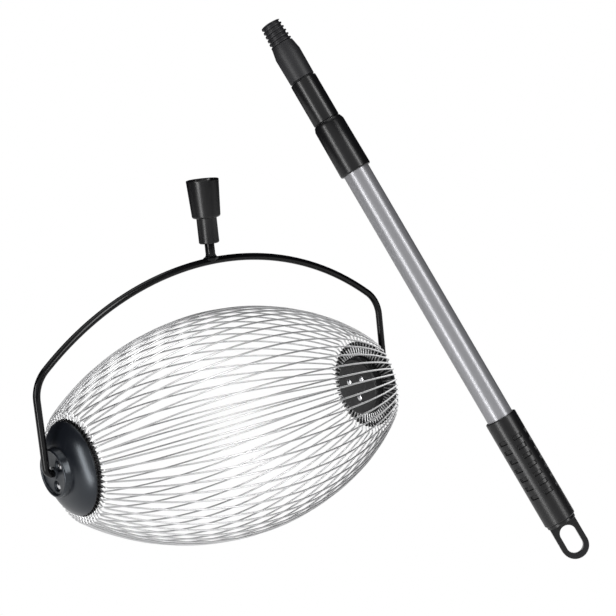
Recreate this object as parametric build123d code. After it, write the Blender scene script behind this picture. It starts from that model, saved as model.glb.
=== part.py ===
from build123d import *
import math
import os

# Nut gatherer: a wire cage that rolls in a bail, and its telescopic pole lying unscrewed beside it.
# Millimetres. X runs along the roller's axle and +Z up the stem. The origin is the mouth of the
# socket's threaded bore. The head is drawn about the roller's axis and lowered as it is written.

# Driving dimensions of the wire cage
wire_planes = 358.0
cage_radius = 113.6
wire_count = 60
wires_per_group = 20
wire_radius = 0.85
cage_arc = 299.65
wire_corner = 3.3
wire_end_radius = 29.8

# Driving dimensions of the roller's ends, each with its height outwards from the wire plane
comb_tip_radius = 46.3
comb_slot_root = 29.0
comb_open_root = 42.5
comb_slot_width = 1.95
comb_inner_face = -1.6
comb_outer_face = 3.3
cap_radius = 44.8
cap_rim_top = 4.4
cap_crown = 2.5
cap_wall = 3.0
cap_ceiling = 16.0
boss_radius = 23.1
boss_base = 16.5
boss_top = 23.6
boss_face = 21.4
boss_lip = 3.5
axle_collar_radius = 5.8
axle_collar_top = 22.6
hub_cup_radius = 30.4
hub_cup_top = -10.85
hub_cup_wall = 2.5
rivet_circle = 12.2
rivet_count = 3
rivet_turn = {"left": 42.0, "right": 45.0}
rivet_radius = 2.4
rivet_head_radius = 4.2
rivet_tail_radius = 3.1
counterbore_radius = 5.4
counterbore_floor = 18.6
clip_radius = 7.4
clip_low = -3.4
clip_thick = 1.2
clip_slits = 6

# Driving dimensions of the bail, its stem and the socket
rod_radius = 3.5
bail_half_width = 208.2
bail_top = 163.4
bail_arc = 315.7
bail_corner = 33.6
axle_bend = 6.5
axle_end = 173.5
stem_radius = 4.75
stem_top = 205.0
weld_radius = 7.6
weld_height = 5.5
sleeve_radius = 9.95
sleeve_bottom = 181.1
cup_bottom = 206.1
cup_bottom_radius = 14.0
cup_rim = 243.3
cup_rim_radius = 16.1
cup_mouth_radius = 14.0
seat_radius = 12.9
seat_depth = 12.0
bore_radius = 9.35
bore_length = 22.0

# Driving dimensions of the pole, with stations measured from its threaded tip
pole_tip = (13.0, -115.3, 382.8)
pole_direction = (-0.21834, 0.39046, 0.89435)
pole_side = (0.7594, -0.5075, 0.4070)
pole_length = 553.1
thread_end = 20.8
thread_pitch = 3.85
thread_tip_radius = 9.4
thread_base_radius = 10.4
thread_depth = 1.35
thread_helix_radius = 8.5
thread_foot = 2.9
thread_land = 1.0
thread_lead = 0.41
cone_end = 31.2
tip_cap_end = 57.1
tip_cap_front_radius = 12.35
tip_cap_rear_radius = 12.0
middle_collar_start = 58.3
middle_collar_end = 100.4
middle_collar_radius = 12.6
tip_neck_radius = 10.4
middle_neck_radius = 11.9
outer_collar_start = 101.3
outer_collar_end = 152.9
outer_collar_front_radius = 14.5
outer_collar_rear_radius = 14.95
grip_start = 408.9
grip_end = 515.0
grip_radius = 14.9
grip_rows = 6
grip_grooves = 7
groove_start = 428.0
groove_pitch = 9.2
groove_length = 3.4
groove_depth = 1.5
groove_land = 7.6
groove_turn = 12.0
loop_flange_end = 517.8
loop_width = 25.3
loop_thick = 6.0
loop_hole_width = 15.4
loop_hole_end = 548.1
loop_hole_length = 27.0
tube_wall = 0.9
outer_tube_radius = 12.5
middle_tube_radius = 11.0
inner_tube_radius = 9.5
outer_tube_ends = (108.0, 513.0)
middle_tube_ends = (63.4, 464.4)
inner_tube_ends = (37.0, 416.4)
lock_length = 25.0
lock_slit = 2.0

# Clearances
seat_gap = 0.05
axle_gap = 0.07
slide_gap = 0.3

os.makedirs("parts", exist_ok=True)
axle_drop = cup_rim - seat_depth
head_place = Pos(0, 0, -axle_drop)
left_end = Plane(origin=(-wire_planes / 2, 0, 0), x_dir=(0, -1, 0), z_dir=(-1, 0, 0)).location
pole_place = head_place * Plane(origin=pole_tip, x_dir=pole_side, z_dir=pole_direction).location


def write(name, shape):
    export_step(shape, f"parts/{name}.step")
    print(name, len(shape.solids()), "solids", round(shape.volume, 1), "mm3")


def write_end(name, side, *solids):
    """Places the solids of one end's piece, drawn with their axis outwards, and writes them."""
    placed = [left_end * solid for solid in solids]
    if side == "right":
        placed = [mirror(solid, about=Plane.YZ) for solid in placed]
    placed = [head_place * solid for solid in placed]
    write(f"{name}_{side}", placed[0] if len(placed) == 1 else Compound(children=placed))


def lathe(edges):
    """Turns an outline of radius and height about the upright axis."""
    return revolve(Plane.XZ * make_face(edges), Axis.Z)


def outline(points):
    """Joins points of radius and height by straight lines."""
    return Polyline(*points, close=True)


def along_pole(points):
    """Turns an outline of radius and station about the pole's axis."""
    return lathe(outline([(radius, -station) for radius, station in points]))


def tube(outer, inner, first, last):
    """A pipe along the pole between two stations."""
    return along_pole([(inner, first), (outer, first), (outer, last), (inner, last)])


def rod(radius, low, high):
    """A round bar along the upright axis."""
    return Pos(0, 0, low) * Cylinder(radius, high - low, align=(Align.CENTER, Align.CENTER, Align.MIN))


def at_rivets(shape, side):
    """Copies of a shape on the three rivet places of one end."""
    turns = [rivet_turn[side] + 360 * n / rivet_count for n in range(rivet_count)]
    return [Rot(0, 0, turn) * Pos(rivet_circle, 0, 0) * shape for turn in turns]


# The sixty wires: each runs along a comb slot, turns a tight corner and bows out to the other end
def cage_wire():
    half = wire_planes / 2
    arc_centre = cage_radius - wire_radius - cage_arc
    corner_x = half - wire_corner
    corner_r = arc_centre + math.sqrt((cage_arc - wire_corner) ** 2 - corner_x ** 2)
    lean = math.atan2(corner_x, corner_r - arc_centre)
    bow_x = cage_arc * math.sin(lean)
    bow_r = arc_centre + cage_arc * math.cos(lean)
    bend = (math.pi / 2 + lean) / 2
    bend_x = corner_x + wire_corner * math.sin(bend)
    bend_r = corner_r + wire_corner * math.cos(bend)
    path = Wire([
        Line((-half, wire_end_radius), (-half, corner_r)),
        ThreePointArc((-half, corner_r), (-bend_x, bend_r), (-bow_x, bow_r)),
        ThreePointArc((-bow_x, bow_r), (0, cage_radius - wire_radius), (bow_x, bow_r)),
        ThreePointArc((bow_x, bow_r), (bend_x, bend_r), (half, corner_r)),
        Line((half, corner_r), (half, wire_end_radius)),
    ])
    path = Plane.XZ * path
    section = Plane(origin=(-half, 0, wire_end_radius), z_dir=(0, 0, 1)) * Circle(wire_radius)
    return sweep(section, path=path)


# The toothed disc: sixty slots hold the wires, and the teeth between them show round the cap
def comb_disc(side):
    thick = comb_outer_face - comb_inner_face
    disc = rod(comb_tip_radius, comb_inner_face, comb_outer_face)
    disc -= rod(rod_radius + 2 * axle_gap, comb_inner_face - 1, comb_outer_face + 1)
    reach = comb_tip_radius + 1
    groove_floor = wire_radius + seat_gap
    from_floor = (Align.MIN, Align.CENTER, Align.MAX)
    groove = Pos(comb_slot_root, 0, groove_floor) * Box(
        reach - comb_slot_root, comb_slot_width, thick, align=from_floor)
    notch = Pos(comb_open_root, 0, comb_outer_face + 1) * Box(
        reach - comb_open_root, comb_slot_width, thick + 2, align=from_floor)
    slot = groove + notch
    disc -= [Rot(0, 0, 360 * n / wire_count) * slot for n in range(wire_count)]
    hole = rod(rivet_radius + seat_gap, comb_inner_face - 1, comb_outer_face + 1)
    return disc - at_rivets(hole, side)


# The end cap: a hollow dome whose boss carries the axle pin and the three rivet heads
def end_cap(side):
    seat = comb_outer_face + seat_gap
    lip_centre = boss_radius - boss_lip / 2
    lip_low = boss_top - boss_lip / 2
    lip_inner = boss_radius - boss_lip
    outside = [
        Line((0, seat), (cap_radius, seat)),
        Line((cap_radius, seat), (cap_radius, cap_rim_top)),
        SagittaArc((cap_radius, cap_rim_top), (boss_radius, boss_base), cap_crown),
        Line((boss_radius, boss_base), (boss_radius, lip_low)),
        ThreePointArc((boss_radius, lip_low), (lip_centre, boss_top), (lip_inner, lip_low)),
        Line((lip_inner, lip_low), (lip_inner, boss_face)),
        Line((lip_inner, boss_face), (axle_collar_radius, boss_face)),
        Line((axle_collar_radius, boss_face), (axle_collar_radius, axle_collar_top)),
        Line((axle_collar_radius, axle_collar_top), (0, axle_collar_top)),
        Line((0, axle_collar_top), (0, seat)),
    ]
    hub_radius = rod_radius + cap_wall
    inner_rim = cap_radius - cap_wall
    inner_boss = boss_radius - cap_wall
    hollow_base = boss_base - cap_wall
    inside = [
        Line((hub_radius, seat - 1), (inner_rim, seat - 1)),
        Line((inner_rim, seat - 1), (inner_rim, cap_rim_top)),
        SagittaArc((inner_rim, cap_rim_top), (inner_boss, hollow_base), cap_crown),
        Line((inner_boss, hollow_base), (inner_boss, cap_ceiling)),
        Line((inner_boss, cap_ceiling), (hub_radius, cap_ceiling)),
        Line((hub_radius, cap_ceiling), (hub_radius, seat - 1)),
    ]
    cap = lathe(outside) - lathe(inside)
    cap += at_rivets(rod(rivet_radius + cap_wall, seat, cap_ceiling + 1), side)
    cap -= rod(rod_radius + axle_gap, seat - 1, boss_top)
    cap -= at_rivets(rod(counterbore_radius, counterbore_floor, boss_top), side)
    return cap - at_rivets(rod(rivet_radius + seat_gap, seat - 1, boss_top), side)


# The hub cup: a raised plate on the cage side that covers the wires' inner ends and the pin
def hub_cup(side):
    rim = comb_inner_face - seat_gap
    round_edge = 2.0
    cup = rod(hub_cup_radius, hub_cup_top, rim)
    cup = fillet(cup.edges().sort_by(Axis.Z)[0], round_edge)
    cup -= rod(hub_cup_radius - hub_cup_wall, hub_cup_top + hub_cup_wall, rim + 1)
    cup += at_rivets(rod(rivet_radius + 1.8, hub_cup_top + 1, rim), side)
    return cup - at_rivets(rod(rivet_radius + seat_gap, hub_cup_top - 1, rim + 1), side)


# One rivet, with a domed head in the cap's counterbore and a domed tail on the hub cup
def rivet():
    head_low = counterbore_floor + seat_gap
    head_top = head_low + 2.2
    tail_low = hub_cup_top - seat_gap
    tail_top = tail_low - 1.6
    return lathe([
        Line((0, tail_top), (0, head_top)),
        TangentArc((0, head_top), (rivet_head_radius, head_low), tangent=(1, 0)),
        Line((rivet_head_radius, head_low), (rivet_radius, head_low)),
        Line((rivet_radius, head_low), (rivet_radius, tail_low)),
        Line((rivet_radius, tail_low), (rivet_tail_radius, tail_low)),
        TangentArc((0, tail_top), (rivet_tail_radius, tail_low), tangent=(1, 0)),
    ])


# The push-on washer that grips the end of the axle pin inside the hub cup
def axle_clip():
    high = clip_low + clip_thick
    clip = rod(clip_radius, clip_low, high) - rod(rod_radius + seat_gap, clip_low - 1, high + 1)
    slit = Box(5.2, 0.8, 3 * clip_thick, align=(Align.MIN, Align.CENTER, Align.CENTER))
    slit = Pos(0, 0, (clip_low + high) / 2) * slit
    return clip - [Rot(0, 0, 360 * n / clip_slits) * slit for n in range(clip_slits)]


# The bail: one rod from pin to pin, up both sides and over the cage
def bail_rod():
    arc_centre = bail_top - bail_arc
    corner_x = bail_half_width - bail_corner
    corner_z = arc_centre + math.sqrt((bail_arc - bail_corner) ** 2 - corner_x ** 2)
    lean = math.atan2(corner_x, corner_z - arc_centre)
    bow_x = bail_arc * math.sin(lean)
    bow_z = arc_centre + bail_arc * math.cos(lean)
    half_lean = (math.pi / 2 + lean) / 2
    shoulder_x = corner_x + bail_corner * math.sin(half_lean)
    shoulder_z = corner_z + bail_corner * math.cos(half_lean)
    pin_x = bail_half_width - axle_bend
    elbow_x = pin_x + axle_bend * math.sin(math.pi / 4)
    elbow_z = axle_bend - axle_bend * math.cos(math.pi / 4)
    edges = []
    for side in (-1, 1):
        edges.append(Line((side * axle_end, 0), (side * pin_x, 0)))
        edges.append(ThreePointArc(
            (side * pin_x, 0), (side * elbow_x, elbow_z), (side * bail_half_width, axle_bend)))
        edges.append(Line((side * bail_half_width, axle_bend), (side * bail_half_width, corner_z)))
        edges.append(ThreePointArc(
            (side * bail_half_width, corner_z), (side * shoulder_x, shoulder_z), (side * bow_x, bow_z)))
    edges.append(ThreePointArc((-bow_x, bow_z), (0, bail_top), (bow_x, bow_z)))
    path = Plane.XZ * Wire(edges)
    section = Plane(origin=(-axle_end, 0, 0), z_dir=(-1, 0, 0)) * Circle(rod_radius)
    return sweep(section, path=path)


# The stem stands on the bail, coped over it, with a weld bead round its foot
def stem_rod():
    crossing = Rot(0, 90, 0) * Cylinder(rod_radius + seat_gap, 4 * stem_radius)
    return rod(stem_radius, bail_top, stem_top) - Pos(0, 0, bail_top) * crossing


def stem_weld():
    foot = bail_top + rod_radius - 2.4
    hollow = 0.8
    bead = lathe([
        Line((0, foot), (weld_radius, foot)),
        SagittaArc((weld_radius, foot), (stem_radius, foot + weld_height), -hollow),
        Line((stem_radius, foot + weld_height), (0, foot + weld_height)),
        Line((0, foot + weld_height), (0, foot)),
    ])
    bead = bead & Box(4 * weld_radius, 2 * rod_radius + 4, 4 * bail_top)
    crossing = Rot(0, 90, 0) * Cylinder(rod_radius + seat_gap, 4 * weld_radius)
    bead -= Pos(0, 0, bail_top) * crossing
    bead -= rod(stem_radius + seat_gap, foot - 1, stem_top)
    return bead


# The socket: a sleeve on the stem, a flared cup, a seat for the pole's cone and the threaded bore
def pole_socket():
    seat = cup_rim - seat_depth
    soft_edge = 2.2
    body = lathe([
        Line((0, sleeve_bottom), (sleeve_radius - 0.8, sleeve_bottom)),
        Line((sleeve_radius - 0.8, sleeve_bottom), (sleeve_radius, sleeve_bottom + 0.8)),
        Line((sleeve_radius, sleeve_bottom + 0.8), (sleeve_radius, cup_bottom)),
        Line((sleeve_radius, cup_bottom), (cup_bottom_radius - soft_edge, cup_bottom)),
        SagittaArc((cup_bottom_radius - soft_edge, cup_bottom),
                   (cup_bottom_radius, cup_bottom + soft_edge), -0.64),
        Line((cup_bottom_radius, cup_bottom + soft_edge), (cup_rim_radius, cup_rim - 0.8)),
        Line((cup_rim_radius, cup_rim - 0.8), (cup_rim_radius - 0.8, cup_rim)),
        Line((cup_rim_radius - 0.8, cup_rim), (0, cup_rim)),
        Line((0, cup_rim), (0, sleeve_bottom)),
    ])
    body -= lathe(outline([
        (0, seat), (seat_radius, seat), (cup_mouth_radius, cup_rim), (cup_mouth_radius, cup_rim + 1),
        (0, cup_rim + 1)]))
    body -= rod(bore_radius, seat - bore_length, seat + 1)
    return body - rod(stem_radius + seat_gap, sleeve_bottom - 1, stem_top + seat_gap)


# The tip fitting: coarse thread, cone and cap in one moulding, over the inner tube's front end. Its
# short neck bridges the gap to the middle collar.
def thread_tip():
    neck_end = middle_collar_start - slide_gap
    base = along_pole([
        (0, 0), (thread_tip_radius - thread_depth, 0), (thread_base_radius - thread_depth, thread_end),
        (thread_base_radius, thread_end), (tip_cap_front_radius, cone_end),
        (tip_cap_rear_radius, tip_cap_end), (tip_neck_radius, tip_cap_end),
        (tip_neck_radius, neck_end), (0, neck_end)])
    path = Helix(pitch=thread_pitch, height=thread_end + thread_pitch, radius=thread_helix_radius)
    crest = thread_base_radius - thread_helix_radius + seat_gap
    start = Plane(origin=path @ 0, x_dir=(1, 0, 0), z_dir=path % 0)
    section = start * make_face(outline([
        (-1.0, -thread_foot / 2), (crest, -thread_land / 2), (crest, thread_land / 2),
        (-1.0, thread_foot / 2)]))
    ridge = Pos(0, 0, -thread_end - thread_lead * thread_pitch) * sweep(
        section, path=path, is_frenet=True)
    envelope = along_pole([
        (0, 0), (thread_tip_radius - 0.4, 0), (thread_tip_radius, 0.8),
        (thread_base_radius, thread_end), (thread_base_radius, thread_end + 0.2),
        (0, thread_end + 0.2)])
    tip = base + (ridge & envelope)
    return tip - tube(inner_tube_radius + seat_gap, 0, inner_tube_ends[0] - seat_gap, neck_end + 1)


def middle_collar():
    tube_start = middle_tube_ends[0]
    neck_end = outer_collar_start - slide_gap
    collar = along_pole([
        (0, middle_collar_start), (middle_collar_radius - 0.6, middle_collar_start),
        (middle_collar_radius, middle_collar_start + 0.6), (middle_collar_radius, middle_collar_end),
        (middle_neck_radius, middle_collar_end), (middle_neck_radius, neck_end), (0, neck_end)])
    collar -= tube(inner_tube_radius + slide_gap, 0, middle_collar_start - 1, tube_start)
    return collar - tube(
        middle_tube_radius + seat_gap, 0, tube_start - seat_gap, neck_end + 1)


def outer_collar():
    tube_start = outer_tube_ends[0]
    chamfer_length = 4.0
    collar = along_pole([
        (0, outer_collar_start), (outer_collar_front_radius - 1.6, outer_collar_start),
        (outer_collar_front_radius, outer_collar_start + chamfer_length),
        (outer_collar_rear_radius, outer_collar_end - 1.0),
        (outer_collar_rear_radius - 0.8, outer_collar_end), (0, outer_collar_end)])
    collar -= tube(middle_tube_radius + slide_gap, 0, outer_collar_start - 1, tube_start)
    return collar - tube(
        outer_tube_radius + seat_gap, 0, tube_start - seat_gap, outer_collar_end + 1)


# The grip: a sleeve with six rows of seven short grooves, which leave ribs and long lands between
def grip():
    body = along_pole([
        (outer_tube_radius + seat_gap, grip_start), (grip_radius - 0.7, grip_start),
        (grip_radius, grip_start + 0.7), (grip_radius, grip_end - 0.9),
        (grip_radius - 0.9, grip_end), (outer_tube_radius + seat_gap, grip_end)])
    floor = grip_radius - groove_depth
    over = grip_radius + 1
    slope = 0.7
    middles = [groove_start + groove_length / 2 + groove_pitch * n for n in range(grip_grooves)]
    rings = [along_pole([
        (floor, middle - groove_length / 2 + slope), (over, middle - groove_length / 2 - slope),
        (over, middle + groove_length / 2 + slope), (floor, middle + groove_length / 2 - slope)])
        for middle in middles]
    land = Box(2 * over, groove_land, 4 * pole_length, align=(Align.MIN, Align.CENTER, Align.CENTER))
    lands = [Rot(0, 0, 360 * n / grip_rows + groove_turn) * land for n in range(grip_rows)]
    for ring in rings:
        body -= ring - lands
    return body


# The hanging loop: a flat eye on a flange, with a plug in the tube's rear end
def hanging_loop():
    flange_radius = loop_width / 2 + 1.1
    plug_radius = outer_tube_radius - tube_wall - seat_gap
    tube_end = outer_tube_ends[1]
    flange_start = grip_end + seat_gap
    base = along_pole([
        (0, tube_end - 14), (plug_radius, tube_end - 14), (plug_radius, flange_start),
        (flange_radius, flange_start), (flange_radius, loop_flange_end), (0, loop_flange_end)])
    eye_centre = pole_length - loop_width / 2
    eye = Pos(0, -eye_centre) * Circle(loop_width / 2)
    eye += Pos(0, -(eye_centre + loop_flange_end - 1) / 2) * Rectangle(
        loop_width, eye_centre - loop_flange_end + 1)
    hole_middle = loop_hole_end - loop_hole_length / 2
    eye -= Pos(0, -hole_middle) * Rot(0, 0, 90) * SlotOverall(loop_hole_length, loop_hole_width)
    plate = extrude(Plane.XZ * eye, loop_thick / 2, both=True)
    edges = plate.edges().filter_by(lambda edge: abs(abs(edge.center().Y) - loop_thick / 2) < 0.01)
    low_edges = edges.filter_by(lambda edge: edge.center().Z < -loop_flange_end - 0.1)
    plate = fillet(low_edges, 1.4)
    return base + plate


# The twist locks: a plug in a tube's rear end, with a stub that turns inside a split sleeve
def lock_plug(tube_radius, tube_end, stub_radius, head_radius):
    inside = tube_radius - tube_wall - seat_gap
    flange_start = tube_end + seat_gap
    flange_end = tube_end + 2
    stub_end = flange_end + lock_length + 2 * slide_gap
    return along_pole([
        (0, tube_end - 12), (inside, tube_end - 12), (inside, flange_start),
        (tube_radius, flange_start), (tube_radius, flange_end), (stub_radius, flange_end),
        (stub_radius, stub_end), (head_radius, stub_end), (head_radius, stub_end + 2),
        (head_radius - 1.5, stub_end + 3.5), (0, stub_end + 3.5)])


def lock_sleeve(outside, stub_radius, tube_end):
    start = tube_end + 2 + slide_gap
    sleeve = tube(outside, stub_radius + slide_gap, start, start + lock_length)
    slit = Box(2 * outside, lock_slit, 4 * pole_length, align=(Align.MIN, Align.CENTER, Align.CENTER))
    return sleeve - slit


for side in ("left", "right"):
    write_end("end_cap", side, end_cap(side))
    write_end("comb_disc", side, comb_disc(side))
    write_end("hub_cup", side, hub_cup(side))
    write_end("cap_rivets", side, *at_rivets(rivet(), side))
    write_end("axle_clip", side, axle_clip())

first_wire = cage_wire()
for before in range(0, wire_count, wires_per_group):
    after = before + wires_per_group
    wires = [Rot(360 * n / wire_count, 0, 0) * first_wire for n in range(before, after)]
    write(f"cage_wires_{before + 1}_to_{after}", head_place * Compound(children=wires))

write("bail_rod", head_place * bail_rod())
write("stem_rod", head_place * stem_rod())
write("stem_weld", head_place * stem_weld())
write("pole_socket", head_place * pole_socket())

write("outer_tube", pole_place * tube(
    outer_tube_radius, outer_tube_radius - tube_wall, *outer_tube_ends))
write("middle_tube", pole_place * tube(
    middle_tube_radius, middle_tube_radius - tube_wall, *middle_tube_ends))
write("inner_tube", pole_place * tube(
    inner_tube_radius, inner_tube_radius - tube_wall, *inner_tube_ends))
write("thread_tip", pole_place * thread_tip())
write("middle_collar", pole_place * middle_collar())
write("outer_collar", pole_place * outer_collar())
write("grip", pole_place * grip())
write("hanging_loop", pole_place * hanging_loop())
write("middle_lock_plug", pole_place * lock_plug(middle_tube_radius, middle_tube_ends[1], 6.0, 9.0))
write("inner_lock_plug", pole_place * lock_plug(inner_tube_radius, inner_tube_ends[1], 4.5, 7.5))
write("middle_lock_sleeve", pole_place * lock_sleeve(
    outer_tube_radius - tube_wall - slide_gap, 6.0, middle_tube_ends[1]))
write("inner_lock_sleeve", pole_place * lock_sleeve(
    middle_tube_radius - tube_wall - slide_gap, 4.5, inner_tube_ends[1]))
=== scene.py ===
import math
import random

import bmesh
import bpy
from mathutils import Matrix, Vector


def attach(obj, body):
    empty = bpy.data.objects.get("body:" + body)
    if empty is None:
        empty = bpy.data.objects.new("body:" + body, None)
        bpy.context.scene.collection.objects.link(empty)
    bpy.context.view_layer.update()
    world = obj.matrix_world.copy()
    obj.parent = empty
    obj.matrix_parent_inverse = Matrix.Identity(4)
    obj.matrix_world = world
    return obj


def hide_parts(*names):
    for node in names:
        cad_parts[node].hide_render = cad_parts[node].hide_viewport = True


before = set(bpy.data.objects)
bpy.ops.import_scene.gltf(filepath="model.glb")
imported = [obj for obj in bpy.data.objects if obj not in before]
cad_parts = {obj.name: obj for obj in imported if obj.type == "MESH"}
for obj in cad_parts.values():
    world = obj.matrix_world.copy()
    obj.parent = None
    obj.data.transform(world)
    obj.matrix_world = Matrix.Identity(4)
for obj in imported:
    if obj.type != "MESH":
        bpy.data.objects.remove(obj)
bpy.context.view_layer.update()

# The view: the camera stands where the photographer stood, a little above and to the left of the
# roller, and leans a few degrees. The object's sizes are in millimetres, brought to metres by this
# factor, and those of the room and its lamps are in metres.
mm = 0.001
axle_height = -231.3 * mm
camera_place = Vector((-873.6, -1253.9, 141.6)) * mm
camera_azimuth = math.radians(-38.21)
camera_elevation = math.radians(9.88)
camera_roll = math.radians(-5.86)
lens = bpy.data.cameras.new("camera")
lens.sensor_width = 36.0
lens.lens = 92.2
lens.clip_end = 50.0
camera = bpy.data.objects.new("camera", lens)
camera.matrix_world = (
    Matrix.Translation(camera_place)
    @ Matrix.Rotation(camera_azimuth, 4, "Z")
    @ Matrix.Rotation(math.pi / 2 - camera_elevation, 4, "X")
    @ Matrix.Rotation(camera_roll, 4, "Z")
)
bpy.context.scene.collection.objects.link(camera)
bpy.context.scene.camera = camera
bpy.context.scene.view_settings.view_transform = "Standard"

# The surroundings: a dark room round the lamps, so that black and bright surfaces keep deep edges,
# while the camera itself sees plain white.
room_tone = (0.014, 0.015, 0.018, 1)
white = (1, 1, 1, 1)
world = bpy.data.worlds.new("room")
world.use_nodes = True
bpy.context.scene.world = world
nodes = world.node_tree.nodes
links = world.node_tree.links
nodes.clear()
room = nodes.new("ShaderNodeBackground")
room.inputs["Color"].default_value = room_tone
plain = nodes.new("ShaderNodeBackground")
plain.inputs["Color"].default_value = white
ray = nodes.new("ShaderNodeLightPath")
choose = nodes.new("ShaderNodeMixShader")
out = nodes.new("ShaderNodeOutputWorld")
links.new(ray.outputs["Is Camera Ray"], choose.inputs["Fac"])
links.new(room.outputs["Background"], choose.inputs[1])
links.new(plain.outputs["Background"], choose.inputs[2])
links.new(choose.outputs["Shader"], out.inputs["Surface"])

# The floor: a white card under the cage and the loop, which lights them a little from below. The
# camera sees it as white as the room, so its edges never show.
cage_drop = 113.9 * mm
floor_height = axle_height - cage_drop
card_half = 1.1
card_middle = 0.25
floor_shape = bmesh.new()
bmesh.ops.create_grid(floor_shape, x_segments=1, y_segments=1, size=card_half)
bmesh.ops.translate(floor_shape, verts=floor_shape.verts, vec=(card_middle, 0, floor_height))
floor_mesh = bpy.data.meshes.new("floor")
floor_shape.to_mesh(floor_mesh)
floor_shape.free()
floor = bpy.data.objects.new("floor", floor_mesh)
bpy.context.scene.collection.objects.link(floor)
card = bpy.data.materials.new("white_card")
card.use_nodes = True
nodes = card.node_tree.nodes
links = card.node_tree.links
paper = nodes["Principled BSDF"]
paper.inputs["Base Color"].default_value = (0.75, 0.75, 0.75, 1)
paper.inputs["Roughness"].default_value = 0.9
paper.inputs["Specular IOR Level"].default_value = 0.1
paper.inputs["Emission Color"].default_value = white
paper.inputs["Emission Strength"].default_value = 0.4
lit = nodes.new("ShaderNodeEmission")
lit.inputs["Color"].default_value = white
ray = nodes.new("ShaderNodeLightPath")
choose = nodes.new("ShaderNodeMixShader")
links.new(ray.outputs["Is Camera Ray"], choose.inputs["Fac"])
links.new(paper.outputs["BSDF"], choose.inputs[1])
links.new(lit.outputs["Emission"], choose.inputs[2])
links.new(choose.outputs["Shader"], nodes["Material Output"].inputs["Surface"])
floor_mesh.materials.append(card)

# The lamps: two long ones beside the pole and parallel to it draw its bright lines, a wide dim panel
# behind the camera fills what faces it, and one hangs overhead.
subject = Vector((0.05, -0.15, -0.1))
pole_lean = (-0.21834, 0.39046, 0.89435)
upright = (0, 0, 1)
sideways = (0, 1, 0)


def soft_box(name, place, lean, width, length, power):
    """A rectangular studio light that faces the subject, with its length along a given line."""
    light = bpy.data.lights.new(name, "AREA")
    light.shape = "RECTANGLE"
    light.size = width
    light.size_y = length
    light.energy = power
    lamp = bpy.data.objects.new(name, light)
    back = (Vector(place) - subject).normalized()
    across = Vector(lean).cross(back).normalized()
    turned_frame = Matrix((across, back.cross(across), back)).transposed().to_4x4()
    lamp.matrix_world = Matrix.Translation(place) @ turned_frame
    lamp.visible_camera = False
    bpy.context.scene.collection.objects.link(lamp)
    return lamp


left_lamp = soft_box("left_lamp", (-2.45, -0.57, -0.15), pole_lean, width=0.5, length=2.9, power=58)
soft_box("right_lamp", (0.5, -2.45, 0.95), pole_lean, width=0.5, length=2.2, power=42)
soft_box("front_panel", (-1.55, -2.15, 0.85), upright, width=3.4, length=2.3, power=17)
soft_box("top_lamp", (-0.2, 0.2, 2.6), sideways, width=2.6, length=2.6, power=35)

# The left lamp reaches below the card, so the card is kept from standing in its light.
card_aside = bpy.data.collections.new("card_aside")
card_aside.objects.link(floor)
card_aside.collection_objects[0].light_linking.link_state = "EXCLUDE"
left_lamp.light_linking.blocker_collection = card_aside

# A panel far round to the right is for the cage alone, and brightens the wires before its right end.
far_panel = soft_box("far_panel", (2.15, 1.1, 0.25), upright, width=2.6, length=2.4, power=38)
cage_light = bpy.data.collections.new("cage_light")
far_panel.light_linking.receiver_collection = cage_light

# The bail: one 7 mm steel rod in black powder coat. Both ends turn in and are the axle pins, and
# the rest is a side arm, a shoulder and one long bow over the cage, bent in one plane.
bail_radius = 3.5 * mm
bail_half_width = 208.2 * mm
bail_top = 163.4 * mm
bail_bow = 315.7 * mm
bail_shoulder = 33.6 * mm
axle_elbow = 6.5 * mm
pin_end = 173.5 * mm
bail_sides = 32
elbow_steps = 10
shoulder_steps = 20
bow_steps = 80
quarter = math.pi / 2
merge_gap = 0.2e-6
hard_angle = 35.0
noise_low = 0.3
noise_high = 0.7
drift_scale = 12.0


def verts_of(found):
    """The vertices among what an operator returns."""
    return [part for part in found if isinstance(part, bmesh.types.BMVert)]


def edges_of(found):
    """The edges among what an operator returns."""
    return [part for part in found if isinstance(part, bmesh.types.BMEdge)]


def lay(shape, ring, step):
    """Draws a ring of edges out along a straight run and returns the new ring."""
    grown = bmesh.ops.extrude_edge_only(shape, edges=ring)["geom"]
    bmesh.ops.translate(shape, verts=verts_of(grown), vec=step)
    return edges_of(grown)


def bend(shape, ring, centre, angle, steps):
    """Draws a ring of edges round a bend in the upright plane and returns the new ring."""
    bent = bmesh.ops.spin(
        shape, geom=ring, cent=centre, axis=sideways, angle=angle, steps=steps, dvec=(0, 0, 0),
        use_merge=False, use_duplicate=False, use_normal_flip=False)["geom_last"]
    return edges_of(bent)


def finish_mesh(name, shape, material, hard=hard_angle):
    """Turns a bmesh into an object with its faces outwards and its hard edges kept."""
    bmesh.ops.remove_doubles(shape, verts=shape.verts, dist=merge_gap)
    bmesh.ops.recalc_face_normals(shape, faces=shape.faces)
    mesh = bpy.data.meshes.new(name)
    shape.to_mesh(mesh)
    shape.free()
    mesh.materials.append(material)
    mesh.shade_smooth()
    mesh.set_sharp_from_angle(angle=math.radians(hard))
    piece = bpy.data.objects.new(name, mesh)
    bpy.context.scene.collection.objects.link(piece)
    return piece


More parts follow.
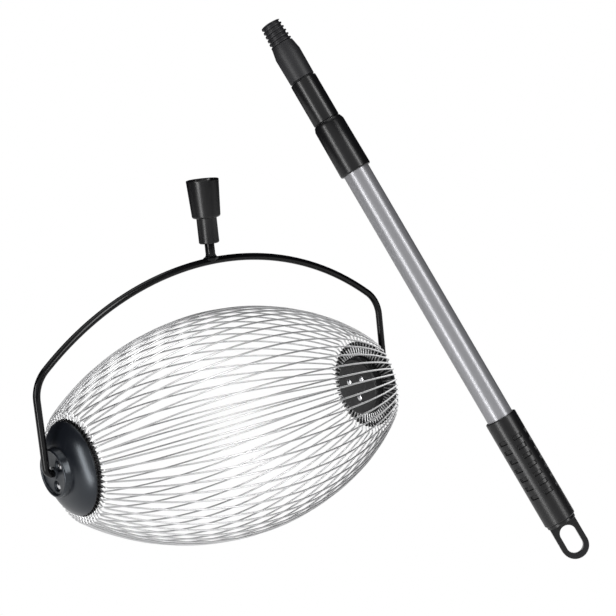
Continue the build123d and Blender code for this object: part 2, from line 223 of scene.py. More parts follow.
def grain_group():
    """Fine moulded or coated grain: a small bump and a drift of roughness and tone over the surface."""
    group = bpy.data.node_groups.new("surface_grain", "ShaderNodeTree")
    face = group.interface
    face.new_socket("Tone", in_out="INPUT", socket_type="NodeSocketColor")
    face.new_socket("Worn Tone", in_out="INPUT", socket_type="NodeSocketColor")
    for name in ("Grain Scale", "Grain Depth", "Drift Scale", "Low Roughness", "High Roughness"):
        face.new_socket(name, in_out="INPUT", socket_type="NodeSocketFloat")
    face.new_socket("Color", in_out="OUTPUT", socket_type="NodeSocketColor")
    face.new_socket("Roughness", in_out="OUTPUT", socket_type="NodeSocketFloat")
    face.new_socket("Normal", in_out="OUTPUT", socket_type="NodeSocketVector")
    inside = group.nodes
    join = group.links
    given = inside.new("NodeGroupInput")
    result = inside.new("NodeGroupOutput")
    place = inside.new("ShaderNodeTexCoord")
    grain = inside.new("ShaderNodeTexNoise")
    grain.inputs["Detail"].default_value = 3.0
    drift = inside.new("ShaderNodeTexNoise")
    drift.inputs["Detail"].default_value = 4.0
    bump = inside.new("ShaderNodeBump")
    bump.inputs["Distance"].default_value = 0.0004
    rough = inside.new("ShaderNodeMapRange")
    rough.inputs["From Min"].default_value = noise_low
    rough.inputs["From Max"].default_value = noise_high
    tone = inside.new("ShaderNodeMix")
    tone.data_type = "RGBA"
    join.new(place.outputs["Object"], grain.inputs["Vector"])
    join.new(place.outputs["Object"], drift.inputs["Vector"])
    join.new(given.outputs["Grain Scale"], grain.inputs["Scale"])
    join.new(given.outputs["Drift Scale"], drift.inputs["Scale"])
    join.new(grain.outputs["Fac"], bump.inputs["Height"])
    join.new(given.outputs["Grain Depth"], bump.inputs["Strength"])
    join.new(drift.outputs["Fac"], rough.inputs["Value"])
    join.new(given.outputs["Low Roughness"], rough.inputs["To Min"])
    join.new(given.outputs["High Roughness"], rough.inputs["To Max"])
    join.new(rough.outputs["Result"], result.inputs["Roughness"])
    join.new(drift.outputs["Fac"], tone.inputs["Factor"])
    join.new(given.outputs["Tone"], tone.inputs["A"])
    join.new(given.outputs["Worn Tone"], tone.inputs["B"])
    join.new(tone.outputs["Result"], result.inputs["Color"])
    join.new(bump.outputs["Normal"], result.inputs["Normal"])
    return group


surface_grain = grain_group()


def grained(name, tone, worn, scale, depth, smoothest, roughest, metallic=0.0, specular=0.5):
    """A material whose colour, roughness and bump come from the surface grain."""
    material = bpy.data.materials.new(name)
    material.use_nodes = True
    tree = material.node_tree
    shader = tree.nodes["Principled BSDF"]
    shader.inputs["Metallic"].default_value = metallic
    shader.inputs["Specular IOR Level"].default_value = specular
    grain = tree.nodes.new("ShaderNodeGroup")
    grain.node_tree = surface_grain
    grain.inputs["Tone"].default_value = (*tone, 1)
    grain.inputs["Worn Tone"].default_value = (*worn, 1)
    grain.inputs["Grain Scale"].default_value = scale
    grain.inputs["Grain Depth"].default_value = depth
    grain.inputs["Drift Scale"].default_value = drift_scale
    grain.inputs["Low Roughness"].default_value = smoothest
    grain.inputs["High Roughness"].default_value = roughest
    tree.links.new(grain.outputs["Color"], shader.inputs["Base Color"])
    tree.links.new(grain.outputs["Roughness"], shader.inputs["Roughness"])
    tree.links.new(grain.outputs["Normal"], shader.inputs["Normal"])
    return material


powder_coat = grained(
    "powder_coat", tone=(0.002, 0.002, 0.0023), worn=(0.003, 0.003, 0.0035), scale=1100, depth=0.05,
    smoothest=0.14, roughest=0.20, specular=0.20)

corner_x = bail_half_width - bail_shoulder
corner_z = math.sqrt((bail_bow - bail_shoulder) ** 2 - corner_x ** 2) + bail_top - bail_bow
bow_lean = math.atan2(corner_x, corner_z - bail_top + bail_bow)
pin_x = bail_half_width - axle_elbow
elbow_height = axle_height + axle_elbow
corner_height = axle_height + corner_z
bow_height = axle_height + bail_top - bail_bow
bail_shape = bmesh.new()
bmesh.ops.create_circle(bail_shape, cap_ends=True, radius=bail_radius, segments=bail_sides)
bmesh.ops.rotate(
    bail_shape, verts=bail_shape.verts, cent=(0, 0, 0), matrix=Matrix.Rotation(quarter, 3, "Y"))
bmesh.ops.translate(bail_shape, verts=bail_shape.verts, vec=(-pin_end, 0, axle_height))
ring = list(bail_shape.edges)
ring = lay(bail_shape, ring, (pin_end - pin_x, 0, 0))
ring = bend(bail_shape, ring, (-pin_x, 0, elbow_height), quarter, elbow_steps)
ring = lay(bail_shape, ring, (0, 0, corner_z - axle_elbow))
ring = bend(bail_shape, ring, (-corner_x, 0, corner_height), quarter - bow_lean, shoulder_steps)
ring = bend(bail_shape, ring, (0, 0, bow_height), 2 * bow_lean, bow_steps)
ring = bend(bail_shape, ring, (corner_x, 0, corner_height), quarter - bow_lean, shoulder_steps)
ring = lay(bail_shape, ring, (0, 0, axle_elbow - corner_z))
ring = bend(bail_shape, ring, (pin_x, 0, elbow_height), quarter, elbow_steps)
ring = lay(bail_shape, ring, (pin_end - pin_x, 0, 0))
bmesh.ops.contextual_create(bail_shape, geom=ring)
bail = finish_mesh("bail", bail_shape, powder_coat)
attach(bail, "frame")
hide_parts("bail_rod")

# The stem: a short 9.5 mm steel rod, welded upright on the middle of the bail and coated black with
# it. The socket's sleeve covers its upper half.
stem_radius = 4.75
stem_foot = 163.4
stem_end = 205.0
on_axle = Matrix.Translation((0, 0, axle_height))


def turned(outline, place, steps=96, soft=0.0, crease=25.0):
    """Turns an outline of radius and height round its own axis, softens its corners and places it."""
    shape = bmesh.new()
    ring = [shape.verts.new((radius * mm, 0, height * mm)) for radius, height in outline]
    edges = [shape.edges.new(pair) for pair in zip(ring, ring[1:])]
    bmesh.ops.spin(
        shape, geom=ring + edges, cent=(0, 0, 0), axis=(0, 0, 1), angle=2 * math.pi, steps=steps,
        dvec=(0, 0, 0), use_merge=True, use_duplicate=False, use_normal_flip=False)
    bmesh.ops.remove_doubles(shape, verts=shape.verts, dist=merge_gap)
    bmesh.ops.recalc_face_normals(shape, faces=shape.faces)
    if soft:
        corners = [edge for edge in shape.edges
                   if edge.is_manifold and edge.calc_face_angle() > math.radians(crease)]
        bmesh.ops.bevel(
            shape, geom=corners, offset=soft * mm, offset_type="OFFSET", segments=3, profile=0.5,
            affect="EDGES", material=-1, clamp_overlap=True)
    bmesh.ops.transform(shape, matrix=place, verts=shape.verts)
    return shape


stem_outline = [(0, stem_foot), (stem_radius, stem_foot), (stem_radius, stem_end), (0, stem_end)]
stem_shape = turned(stem_outline, on_axle, steps=48, soft=0.3)
stem = finish_mesh("stem", stem_shape, powder_coat)
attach(stem, "frame")
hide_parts("stem_rod")

# The weld: a hand-laid steel bead round the stem's foot, under the same black coat. It is hollow in
# its slope, a little lumpy, and narrower from front to back than along the bail.
weld_foot = 164.6
weld_height = 6.6
weld_inside = 4.3
weld_toe = 7.3
weld_belly = 7.6
belly_rise = 1.0
hollow_radius = 4.0
hollow_x = 8.9
hollow_rise = 6.0
lump_count = 7
lump_depth = 0.05
wave_count = 3
wave_depth = 0.03
weld_squeeze = 0.86


def arc(centre, radius, first, last, count):
    """Points of radius and height along a round stretch of an outline, by angles in degrees."""
    turns = [math.radians(first + (last - first) * n / count) for n in range(count + 1)]
    return [(centre[0] + radius * math.cos(t), centre[1] + radius * math.sin(t)) for t in turns]


weld_outline = [(weld_inside, weld_foot), (weld_toe, weld_foot), (weld_belly, weld_foot + belly_rise)]
weld_outline += arc((hollow_x, weld_foot + hollow_rise), hollow_radius, -105, -180, 6)
weld_outline += [(weld_inside, weld_foot + weld_height), (weld_inside, weld_foot)]
weld_shape = turned(weld_outline, on_axle, steps=72)
for vert in weld_shape.verts:
    around = math.atan2(vert.co.y, vert.co.x)
    lump = 1 + lump_depth * math.sin(lump_count * around) + wave_depth * math.sin(wave_count * around + 1)
    vert.co.x *= lump
    vert.co.y *= lump * weld_squeeze
weld = finish_mesh("weld_bead", weld_shape, powder_coat, hard=60.0)
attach(weld, "frame")
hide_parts("stem_weld")

# The pole socket: moulded in black plastic on the stem. A plain sleeve carries a flared cup, whose
# wide mouth takes the pole's cone, and the coarse female thread is deep inside.
moulding = grained(
    "black_moulding", tone=(0.003, 0.003, 0.0034), worn=(0.005, 0.005, 0.0056), scale=1500, depth=0.03,
    smoothest=0.25, roughest=0.32, specular=0.36)
stem_hole = 4.8
stem_hole_end = 205.2
sleeve_foot = 181.1
sleeve_foot_radius = 9.3
sleeve_chamfer = 182.0
sleeve_radius = 9.95
cup_foot = 206.1
cup_foot_radius = 11.4
cup_corner = (11.6, 208.5)
cup_corner_round = 2.4
cup_mouth = 242.2
cup_mouth_radius = 15.95
cup_lip = (15.1, 242.4)
cup_lip_round = 0.9
cup_inside = (14.0, 241.6)
cup_rim = 243.3
cup_depth = 12.0
cup_seat = cup_rim - cup_depth
cup_seat_radius = 12.9
bore_mouth = 10.2
bore_chamfer = 0.9
bore_radius = 9.35
bore_depth = 22.0
bore_end = cup_seat - bore_depth
socket_outline = [(0, stem_hole_end), (stem_hole, stem_hole_end), (stem_hole, sleeve_foot)]
socket_outline += [(sleeve_foot_radius, sleeve_foot), (sleeve_radius, sleeve_chamfer)]
socket_outline += [(sleeve_radius, cup_foot), (cup_foot_radius, cup_foot)]
socket_outline += arc(cup_corner, cup_corner_round, -90, -4, 8)
socket_outline += [(cup_mouth_radius, cup_mouth)]
socket_outline += arc(cup_lip, cup_lip_round, 0, 180, 8)
socket_outline += [cup_inside, (cup_seat_radius, cup_seat), (bore_mouth, cup_seat)]
socket_outline += [(bore_radius, cup_seat - bore_chamfer), (bore_radius, bore_end), (0, bore_end)]
socket_shape = turned(socket_outline, on_axle, soft=0.3)
socket = finish_mesh("socket", socket_shape, moulding)
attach(socket, "frame")
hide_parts("pole_socket")

# The end caps: glossy black domes, moulded hollow. Each has a boss with a rounded lip, a small
# collar round the axle pin and three counterbores for the rivet heads.
cap_gloss = grained(
    "cap_gloss", tone=(0.004, 0.0048, 0.007), worn=(0.006, 0.0072, 0.010), scale=700, depth=0.02,
    smoothest=0.28, roughest=0.33, specular=0.5)
cap_shader = cap_gloss.node_tree.nodes["Principled BSDF"]
cap_shader.inputs["Specular Tint"].default_value = (0.86, 0.93, 1, 1)
sides = ("left", "right")
wire_plane = 179.0
rivet_count = 3
rivet_circle = 12.2
rivet_turn = {"left": 42.0, "right": 45.0}
turn_way = {"left": 1, "right": -1}
outwards = {
    "left": Matrix(((0, 0, -1, -wire_plane * mm), (-1, 0, 0, 0), (0, 1, 0, axle_height), (0, 0, 0, 1))),
    "right": Matrix(((0, 0, 1, wire_plane * mm), (-1, 0, 0, 0), (0, -1, 0, axle_height), (0, 0, 0, 1))),
}


def rivet_places(side):
    """The rivet axes of one end, from the end's own axis."""
    turns = [turn_way[side] * math.radians(rivet_turn[side] + 360 / rivet_count * n)
             for n in range(rivet_count)]
    out_to = Matrix.Translation((rivet_circle * mm, 0, 0))
    return [outwards[side] @ Matrix.Rotation(t, 4, "Z") @ out_to for t in turns]


def soften_edges(piece, angle):
    """Rounds a piece's edges that turn by more than an angle, by a quarter of a millimetre."""
    soften = piece.modifiers.new("soften", "BEVEL")
    soften.width = 0.25 * mm
    soften.segments = 2
    soften.limit_method = "ANGLE"
    soften.angle_limit = math.radians(angle)


def carved(piece, cutters):
    """Cuts closed shapes out of a piece and leaves the result as its mesh."""
    for cutter in cutters:
        cut = piece.modifiers.new("cut", "BOOLEAN")
        cut.operation = "DIFFERENCE"
        cut.solver = "EXACT"
        cut.object = cutter
    soften_edges(piece, angle=50)
    graph = bpy.context.evaluated_depsgraph_get()
    result = bpy.data.meshes.new_from_object(piece.evaluated_get(graph))
    piece.modifiers.clear()
    piece.data = result
    for cutter in cutters:
        bpy.data.objects.remove(cutter)
    result.shade_smooth()
    result.set_sharp_from_angle(angle=math.radians(hard_angle))


cap_radius = 44.8
cap_rim = 4.4
cap_crown = 2.5
cap_seat = 3.35
boss_radius = 23.1
boss_base = 16.5
boss_face = 21.4
boss_top = 23.6
lip_round = 1.75
collar_radius = 5.8
collar_top = 22.6
collar_round = 0.4
pin_hole = 3.6
well_radius = 5.4
well_floor = 18.6
well_top = 30.0
slope = math.hypot(cap_radius - boss_radius, boss_base - cap_rim)
dome_radius = slope ** 2 / (8 * cap_crown) + cap_crown / 2
dome_drop = (dome_radius - cap_crown) / slope
dome_centre = (
    (cap_radius + boss_radius) / 2 - dome_drop * (boss_base - cap_rim),
    (cap_rim + boss_base) / 2 - dome_drop * (cap_radius - boss_radius))
dome_first = math.degrees(math.atan2(cap_rim - dome_centre[1], cap_radius - dome_centre[0]))
dome_last = math.degrees(math.atan2(boss_base - dome_centre[1], boss_radius - dome_centre[0]))
cap_outline = [(pin_hole, cap_seat), (cap_radius, cap_seat)]
cap_outline += arc(dome_centre, dome_radius, dome_first, dome_last, 14)
cap_outline += arc((boss_radius - lip_round, boss_top - lip_round), lip_round, 0, 180, 10)
cap_outline += [(boss_radius - 2 * lip_round, boss_face), (collar_radius, boss_face)]
cap_outline += arc((collar_radius - collar_round, collar_top - collar_round), collar_round, 0, 90, 3)
cap_outline += [(pin_hole, collar_top), (pin_hole, cap_seat)]
well_outline = [(0, well_floor), (well_radius, well_floor), (well_radius, well_top), (0, well_top)]
for side in sides:
    cap = finish_mesh(f"cap_{side}", turned(cap_outline, outwards[side], soft=0.35), cap_gloss)
    wells = [turned(well_outline, place, steps=48) for place in rivet_places(side)]
    carved(cap, [finish_mesh("well", well, cap_gloss) for well in wells])
    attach(cap, "roller")
    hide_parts(f"end_cap_{side}")

# The comb discs: moulded in the same black plastic as the socket, with sixty slots that space the
# wires. Their teeth show as a fringe round each cap, and on the cage side the wires lie on the disc.
wire_count = 60
comb_radius = 44.4
comb_face = -1.6
comb_back = 3.3
seat_radius = 31.7
seat_chamfer = 0.3
web_face = -0.2
ledge_radius = 42.2
ledge_face = 1.6
tooth_root = 41.5
tooth_tip = 46.3
tooth_thick = 3.25
root_turn = 1.38
tip_turn = 1.05
comb_outline = [(0, comb_face), (seat_radius - seat_chamfer, comb_face)]
comb_outline += [(seat_radius, comb_face + seat_chamfer), (seat_radius, web_face)]
comb_outline += [(ledge_radius, web_face), (ledge_radius, ledge_face)]
comb_outline += [(comb_radius, ledge_face), (comb_radius, comb_back), (0, comb_back)]
tooth_corners = [(-root_turn, tooth_root), (-tip_turn, tooth_tip)]
tooth_corners += [(tip_turn, tooth_tip), (root_turn, tooth_root)]
tooth = bmesh.new()
for turn, reach in tooth_corners:
    turn = math.radians(turn)
    tooth.verts.new((reach * mm * math.cos(turn), reach * mm * math.sin(turn), comb_face * mm))
tooth.faces.new(tooth.verts)
grown = bmesh.ops.extrude_face_region(tooth, geom=tooth.faces)["geom"]
bmesh.ops.translate(tooth, verts=verts_of(grown), vec=(0, 0, tooth_thick * mm))
tooth_mesh = bpy.data.meshes.new("tooth")
tooth.to_mesh(tooth_mesh)
tooth.free()
fringe = bmesh.new()
for n in range(wire_count):
    before = len(fringe.verts)
    fringe.from_mesh(tooth_mesh)
    fringe.verts.ensure_lookup_table()
    between_wires = Matrix.Rotation(2 * math.pi * (n + 0.5) / wire_count, 4, "Z")
    bmesh.ops.transform(fringe, matrix=between_wires, verts=fringe.verts[before:])
fringe.to_mesh(tooth_mesh)
fringe.free()
for side in sides:
    comb_shape = turned(comb_outline, Matrix.Identity(4), steps=120)
    comb_shape.from_mesh(tooth_mesh)
    bmesh.ops.transform(comb_shape, matrix=outwards[side], verts=comb_shape.verts)
    comb = finish_mesh(f"comb_{side}", comb_shape, moulding)
    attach(comb, "roller")
    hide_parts(f"comb_disc_{side}")
bpy.data.meshes.remove(tooth_mesh)

# The hub cups: raised round plates on the cage side, moulded in the same black plastic. They cover
# the wires' inner ends, and the rivets hold them against the comb discs.
hub_radius = 30.4
hub_face = -10.85
hub_rim = -1.65
hub_wall = 2.5
hub_round = 2.0
hub_outline = [(0, hub_face)]
hub_outline += arc((hub_radius - hub_round, hub_face + hub_round), hub_round, -90, 0, 8)
hub_outline += [(hub_radius, hub_rim), (hub_radius - hub_wall, hub_rim)]
hub_outline += [(hub_radius - hub_wall, hub_face + hub_wall), (0, hub_face + hub_wall)]
for side in sides:
    cup_shape = turned(hub_outline, outwards[side], soft=0.25, crease=40)
    hub_cup = finish_mesh(f"hub_plate_{side}", cup_shape, moulding)
    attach(hub_cup, "roller")
    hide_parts(f"hub_cup_{side}")

# The rivets: plated steel, three at each end, with a domed head in the cap's wells and a smaller
# domed tail on the hub plate.
plated = grained(
    "plated_rivet", tone=(0.72, 0.72, 0.73), worn=(0.60, 0.60, 0.62), scale=600, depth=0.10,
    smoothest=0.18, roughest=0.34, metallic=1.0)
shank_radius = 2.4
head_radius = 4.2
head_seat = 18.65
head_side = 19.3
head_rise = 1.5
tail_radius = 3.4
tail_seat = -10.9
tail_side = -11.3
tail_slope = (2.0, -12.2)
tail_end = -12.5


def add_shape(whole, shape):
    """Adds one bmesh to another and frees it."""
    spare = bpy.data.meshes.new("spare")
    shape.to_mesh(spare)
    shape.free()
    whole.from_mesh(spare)
    bpy.data.meshes.remove(spare)


head_bulge = (head_radius ** 2 + head_rise ** 2) / (2 * head_rise)
head_reach = math.degrees(math.asin(head_radius / head_bulge))
rivet_outline = [(0, tail_end), tail_slope, (tail_radius, tail_side), (tail_radius, tail_seat)]
rivet_outline += [(shank_radius, tail_seat), (shank_radius, head_seat)]
rivet_outline += [(head_radius, head_seat), (head_radius, head_side)]
rivet_outline += arc((0, head_side + head_rise - head_bulge), head_bulge, 90 - head_reach, 90, 6)
for side in sides:
    rivets = bmesh.new()
    for place in rivet_places(side):
        add_shape(rivets, turned(rivet_outline, place, steps=32, soft=0.15))
    rivet_set = finish_mesh(f"rivets_{side}", rivets, plated)
    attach(rivet_set, "roller")
    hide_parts(f"cap_rivets_{side}")

# The axle clips: push-on spring steel washers on the pins' ends. They keep the roller on the bail,
# out of sight in the hub cups.
spring_steel = grained(
    "spring_steel", tone=(0.32, 0.32, 0.33), worn=(0.22, 0.22, 0.24), scale=500, depth=0.15,
    smoothest=0.30, roughest=0.45, metallic=1.0)


def dress(node, material):
    """Gives one of the CAD's own pieces its material."""
    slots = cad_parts[node].data.materials
    slots.clear()
    slots.append(material)


for side in sides:
    dress(f"axle_clip_{side}", spring_steel)

# The cage: sixty bright steel wires, 1.7 mm thick. Each starts in a comb slot, turns a tight corner
# and bows out to the far end. They spring a little unevenly between the discs.
wire_metal = grained(
    "bright_wire", tone=(0.64, 0.64, 0.64), worn=(0.54, 0.54, 0.55), scale=300, depth=0.03,
    smoothest=0.30, roughest=0.38, metallic=1.0)
wire_radius = 0.85 * mm
wire_sides = 10
wire_bow = 299.65 * mm
wire_bow_steps = 56
wire_corner = 3.3 * mm
wire_corner_steps = 6
wire_start = 29.8 * mm
wire_sway = math.radians(0.45)
wire_lift = 0.5 * mm
cage_radius = 113.6 * mm
half_cage = wire_plane * mm
spring_seed = 7
bow_centre = cage_radius - wire_radius - wire_bow
turn_x = half_cage - wire_corner
turn_r = bow_centre + math.sqrt((wire_bow - wire_corner) ** 2 - turn_x ** 2)
wire_lean = math.atan2(turn_x, turn_r - bow_centre)
one_wire = bmesh.new()
bmesh.ops.create_circle(one_wire, cap_ends=True, radius=wire_radius, segments=wire_sides)
bmesh.ops.translate(one_wire, verts=one_wire.verts, vec=(-half_cage, 0, wire_start))
ring = list(one_wire.edges)
ring = lay(one_wire, ring, (0, 0, turn_r - wire_start))
ring = bend(one_wire, ring, (-turn_x, 0, turn_r), quarter - wire_lean, wire_corner_steps)
ring = bend(one_wire, ring, (0, 0, bow_centre), 2 * wire_lean, wire_bow_steps)
ring = bend(one_wire, ring, (turn_x, 0, turn_r), quarter - wire_lean, wire_corner_steps)
ring = lay(one_wire, ring, (0, 0, wire_start - turn_r))
bmesh.ops.contextual_create(one_wire, geom=ring)
wire_mesh = bpy.data.meshes.new("wire")
one_wire.to_mesh(wire_mesh)
one_wire.free()
spring = random.Random(spring_seed)
cage_shape = bmesh.new()
for n in range(wire_count):
    before = len(cage_shape.verts)
    cage_shape.from_mesh(wire_mesh)
    cage_shape.verts.ensure_lookup_table()
    fresh = cage_shape.verts[before:]
    sway = spring.uniform(-wire_sway, wire_sway)
    lift = spring.uniform(-wire_lift, 0)
    slot_turn = 2 * math.pi * n / wire_count
    for vert in fresh:
        middle = math.cos(vert.co.x / half_cage * math.pi / 2)
        vert.co.z += lift * middle
        turn = slot_turn + sway * middle
        across, up = vert.co.y, vert.co.z
        vert.co.y = across * math.cos(turn) - up * math.sin(turn)
        vert.co.z = across * math.sin(turn) + up * math.cos(turn) + axle_height
bpy.data.meshes.remove(wire_mesh)
cage = finish_mesh("cage", cage_shape, wire_metal, hard=60.0)
cage_light.objects.link(cage)
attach(cage, "roller")
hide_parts(*[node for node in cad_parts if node.startswith("cage_wires")])

# The pole's outer tube: 25 mm anodised aluminium, drawn, with fine lengthwise lines. The pole's
# stations are measured from its threaded tip towards the hanging loop.
pole_tip = Vector((13.0, -115.3, 151.5)) * mm
pole_up = Vector(pole_lean).normalized()
pole_side = Vector((0.7594, -0.5075, 0.4070))
pole_side = (pole_side - pole_up * pole_side.dot(pole_up)).normalized()
pole_front = pole_up.cross(pole_side)
on_pole = Matrix.Translation(pole_tip) @ Matrix((pole_side, pole_front, pole_up)).transposed().to_4x4()
tube_front = 108
tube_rear = 513
tube_bore = 11.6
tube_radius = 12.5
line_smooth = 0.30
line_rough = 0.38


def along(outline):
    """An outline of radius and station as one of radius and height."""
    return [(radius, -station) for radius, station in outline]


satin_tube = grained(
    "satin_tube", tone=(0.25, 0.25, 0.262), worn=(0.23, 0.23, 0.241), scale=1200, depth=0.03,
    smoothest=line_smooth, roughest=line_rough, metallic=0.5)
nodes = satin_tube.node_tree.nodes
links = satin_tube.node_tree.links
shader = nodes["Principled BSDF"]
place = nodes.new("ShaderNodeTexCoord")
lengthwise = nodes.new("ShaderNodeMapping")
lengthwise.vector_type = "TEXTURE"
lengthwise.inputs["Rotation"].default_value = on_pole.to_euler()
lengthwise.inputs["Scale"].default_value = (1, 1, 120)
lines = nodes.new("ShaderNodeTexNoise")
lines.inputs["Scale"].default_value = 2000.0
lines.inputs["Detail"].default_value = 3.0
rough = nodes.new("ShaderNodeMapRange")
rough.inputs["From Min"].default_value = noise_low
rough.inputs["From Max"].default_value = noise_high
rough.inputs["To Min"].default_value = line_smooth
rough.inputs["To Max"].default_value = line_rough
ridge = nodes.new("ShaderNodeBump")
ridge.inputs["Strength"].default_value = 0.03
ridge.inputs["Distance"].default_value = 0.0003
links.new(place.outputs["Object"], lengthwise.inputs["Vector"])
links.new(lengthwise.outputs["Vector"], lines.inputs["Vector"])
links.new(lines.outputs["Fac"], rough.inputs["Value"])
links.new(lines.outputs["Fac"], ridge.inputs["Height"])
links.new(rough.outputs["Result"], shader.inputs["Roughness"])
links.new(ridge.outputs["Normal"], shader.inputs["Normal"])
tube_outline = along([
    (tube_bore, tube_front), (tube_radius, tube_front), (tube_radius, tube_rear),
    (tube_bore, tube_rear), (tube_bore, tube_front)])
tube_piece = finish_mesh("tube", turned(tube_outline, on_pole, steps=128), satin_tube)
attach(tube_piece, "pole")
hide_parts("outer_tube")

# The middle and inner tubes: the same drawn aluminium, each a sliding fit in the one before. Drawn
# in, they show only between the collars.
for node in ("middle_tube", "inner_tube"):
    dress(node, satin_tube)

# The outer collar: black moulding pushed over the outer tube's front end. It has a long chamfer in
# front, swells a little towards the rear and guides the middle tube.
over_tube = 12.55
front_bore = 11.3
front_end = 101.3
front_nose = 12.9
front_shoulder = (14.5, 105.3)
front_swell = (14.95, 151.9)
front_rear = 152.9
front_rear_radius = 14.15
collar_outline = along([
    (front_bore, tube_front), (front_bore, front_end), (front_nose, front_end), front_shoulder,
    front_swell, (front_rear_radius, front_rear), (over_tube, front_rear), (over_tube, tube_front),
    (front_bore, tube_front)])
collar = finish_mesh("front_collar", turned(collar_outline, on_pole, soft=0.5), moulding)
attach(collar, "pole")
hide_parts("outer_collar")

# The middle collar: the same moulding on the second tube, straight and smooth. A narrow neck behind
# it leaves a shadow line in front of the outer collar.
over_middle = 11.05
middle_front = 63.35
second_bore = 9.8
second_front = 58.3
second_nose = 12.0
second_chamfer = 58.9
second_radius = 12.6
second_rear = 100.4
neck_radius = 11.9
neck_end = 101.0
second_outline = along([
    (second_bore, middle_front), (second_bore, second_front), (second_nose, second_front),
    (second_radius, second_chamfer), (second_radius, second_rear), (neck_radius, second_rear),
    (neck_radius, neck_end), (over_middle, neck_end), (over_middle, middle_front),
    (second_bore, middle_front)])
second = finish_mesh("second_collar", turned(second_outline, on_pole, soft=0.3), moulding)
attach(second, "middle_section")
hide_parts("middle_collar")

# The tip: cap, cone and coarse tapered thread in one black moulding on the inner tube. The thread
# is one ridge wound six times round the core.
tip_moulding = grained(
    "tip_moulding", tone=(0.010, 0.010, 0.011), worn=(0.014, 0.014, 0.016), scale=1500, depth=0.05,
    smoothest=0.42, roughest=0.50, specular=0.35)
over_inner = 9.55
inner_front = 36.95
tip_rear = 58.0
tip_rear_radius = 10.4
tip_step = 57.1
tip_step_radius = 12.0
cone_foot = (12.35, 31.2)
cone_end_radius = 10.4
thread_end = 20.8
thread_fillet = 0.2
thread_start = -0.72
thread_pitch = 3.85
thread_turns = 6
thread_steps = 48
core_tip = 8.05
core_base = 9.05
core_chamfer = 0.6
ridge_sunk = 0.6
ridge_rise = 1.35
ridge_foot = 1.35
ridge_crest = 0.5
tip_outline = along([
    (0, inner_front), (over_inner, inner_front), (over_inner, tip_rear), (tip_rear_radius, tip_rear),
    (tip_rear_radius, tip_step), (tip_step_radius, tip_step), cone_foot, (cone_end_radius, thread_end),
    (core_base, thread_end - thread_fillet), (core_tip, core_chamfer), (core_tip - core_chamfer, 0),
    (0, 0)])
tip_shape = turned(tip_outline, on_pole, soft=0.4)
ridge_profile = [(-ridge_sunk, -ridge_foot), (ridge_rise, -ridge_crest)]
ridge_profile += [(ridge_rise, ridge_crest), (-ridge_sunk, ridge_foot)]
ridge_shape = bmesh.new()
corners = [ridge_shape.verts.new(((core_tip + out) * mm, 0, (up - thread_start) * mm))
           for out, up in ridge_profile]
ridge_shape.faces.new(corners)
last = bmesh.ops.spin(
    ridge_shape, geom=list(ridge_shape.edges), cent=(0, 0, 0), axis=(0, 0, 1),
    angle=-2 * math.pi * thread_turns, steps=thread_turns * thread_steps,
    dvec=(0, 0, -thread_pitch * mm / thread_steps), use_merge=False, use_duplicate=False,
    use_normal_flip=False)["geom_last"]
bmesh.ops.contextual_create(ridge_shape, geom=edges_of(last))
for vert in ridge_shape.verts:
    down = min(max(-vert.co.z / (thread_end * mm), 0), 1)
    grow = 1 + down * (core_base - core_tip) / core_tip
    vert.co.x *= grow
    vert.co.y *= grow
    vert.co.z = min(max(vert.co.z, -thread_end * mm), 0)
bmesh.ops.transform(ridge_shape, matrix=on_pole, verts=ridge_shape.verts)
add_shape(tip_shape, ridge_shape)
tip = finish_mesh("screw_tip", tip_shape, tip_moulding)
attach(tip, "inner_section")
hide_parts("thread_tip")

# The grip: a matt black moulded sleeve, pushed over the tube's rear end. Seven short grooves in each
# of six rows leave ribs to hold, with smooth lands between the rows.
grip_matt = grained(
    "grip_matt", tone=(0.003, 0.003, 0.0033), worn=(0.005, 0.005, 0.0055), scale=1300, depth=0.04,
    smoothest=0.30, roughest=0.38, specular=0.36)
grip_radius = 14.9
grip_front = 408.9
front_edge = 14.2
front_chamfer = 409.6
grip_rear = 515.0
rear_edge = 14.0
rear_chamfer = 514.1
groove_first = 429.7
groove_pitch = 9.2
groove_half = 2.1
groove_depth = 1.5
groove_wall = 0.5
groove_count = 7
row_count = 6
row_first = 24.9
row_last = 60.0
skin = 0.2
grip_crease = 32.0
groove_middles = [groove_first + groove_pitch * n for n in range(groove_count)]
grip_outline = [(over_tube, grip_front), (front_edge, grip_front), (grip_radius, front_chamfer)]
for middle in groove_middles:
    grip_outline += [(grip_radius, middle - groove_half), (grip_radius, middle + groove_half)]
grip_outline += [(grip_radius, rear_chamfer), (rear_edge, grip_rear), (over_tube, grip_rear)]
grip_outline += [(over_tube, grip_front)]
grip_shape = turned(along(grip_outline), Matrix.Identity(4), steps=144)
sunk = []
for face in grip_shape.faces:
    middle = face.calc_center_median()
    station = -middle.z / mm
    outside = math.hypot(middle.x, middle.y) > (grip_radius - skin) * mm
    in_groove = any(abs(station - place) < groove_half for place in groove_middles)
    turn = math.degrees(math.atan2(middle.y, middle.x)) % (360 / row_count)
    if outside and in_groove and row_first < turn < row_last:
        sunk.append(face)
bmesh.ops.inset_region(
    grip_shape, faces=sunk, thickness=groove_wall * mm, depth=-groove_depth * mm, use_boundary=True,
    use_even_offset=True)
bmesh.ops.transform(grip_shape, matrix=on_pole, verts=grip_shape.verts)
handle = finish_mesh("handle", grip_shape, grip_matt, hard=grip_crease)
soften_edges(handle, angle=grip_crease)
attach(handle, "pole")
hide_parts("grip")

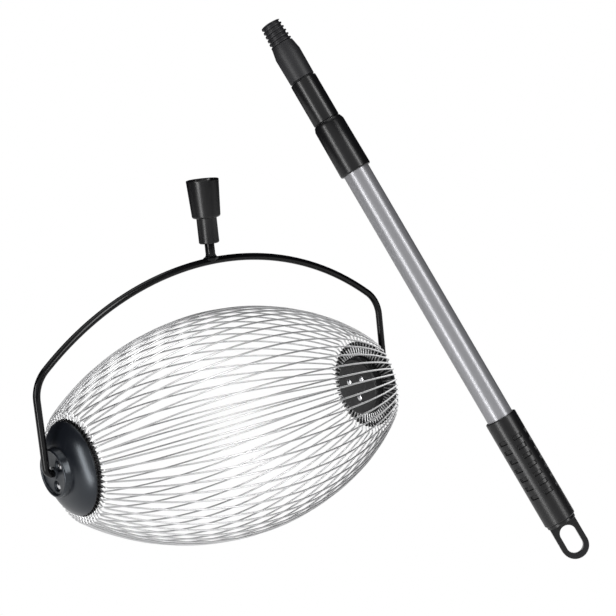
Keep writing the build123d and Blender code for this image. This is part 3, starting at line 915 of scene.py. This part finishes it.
# The hanging loop: a flat black moulded eye on a round flange. A plug on the flange's other side goes
# into the tube's rear end and holds it.
pole_length = 553.1
plug_end = 499
plug_radius = 11.5
flange_front = 515.05
flange_rear = 517.8
flange_radius = 13.75
eye_width = 25.3
eye_thick = 6.0
eye_sunk = 0.5
eye_reach = 30
eye_segments = 64
eye_round = 1.7
hole_width = 15.4
hole_length = 27.0
hole_end = 548.1
hairline = 1e-6
loop_outline = along([
    (0, plug_end), (plug_radius, plug_end), (plug_radius, flange_front), (flange_radius, flange_front),
    (flange_radius, flange_rear), (0, flange_rear)])
loop_shape = turned(loop_outline, Matrix.Identity(4), steps=72, soft=0.4)
eye = bmesh.new()
outer = bmesh.ops.create_circle(
    eye, cap_ends=False, radius=eye_width / 2 * mm, segments=eye_segments)["verts"]
for vert in outer:
    if vert.co.y > hairline:
        vert.co.y += eye_reach * mm
    vert.co.y -= (pole_length - eye_width / 2) * mm
    vert.co.y = min(vert.co.y, -(flange_rear - eye_sunk) * mm)
inner = bmesh.ops.create_circle(
    eye, cap_ends=False, radius=hole_width / 2 * mm, segments=eye_segments)["verts"]
for vert in inner:
    if vert.co.y > hairline:
        vert.co.y += (hole_length - hole_width) * mm
    vert.co.y -= (hole_end - hole_width / 2) * mm
bmesh.ops.bridge_loops(eye, edges=eye.edges)
grown = bmesh.ops.extrude_face_region(eye, geom=eye.faces)["geom"]
bmesh.ops.translate(eye, verts=verts_of(grown), vec=(0, 0, eye_thick * mm))
bmesh.ops.translate(eye, verts=eye.verts, vec=(0, 0, -eye_thick / 2 * mm))
bmesh.ops.recalc_face_normals(eye, faces=eye.faces)
rims = [edge for edge in eye.edges if edge.is_manifold and edge.calc_face_angle() > math.radians(60)]
bmesh.ops.bevel(
    eye, geom=rims, offset=eye_round * mm, offset_type="OFFSET", segments=5, profile=0.5,
    affect="EDGES", material=-1, clamp_overlap=True)
bmesh.ops.rotate(eye, verts=eye.verts, cent=(0, 0, 0), matrix=Matrix.Rotation(quarter, 3, "X"))
add_shape(loop_shape, eye)
bmesh.ops.transform(loop_shape, matrix=on_pole, verts=loop_shape.verts)
loop = finish_mesh("loop", loop_shape, moulding)
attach(loop, "pole")
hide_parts("hanging_loop")

# The twist locks: natural-coloured mouldings, out of sight inside the tubes. A plug in the rear end of
# each drawn-in section has a stub that turns inside a split sleeve.
lock_moulding = grained(
    "lock_moulding", tone=(0.62, 0.61, 0.57), worn=(0.55, 0.54, 0.50), scale=1200, depth=0.12,
    smoothest=0.40, roughest=0.50)
for node in ("middle_lock_plug", "middle_lock_sleeve", "inner_lock_plug", "inner_lock_sleeve"):
    dress(node, lock_moulding)
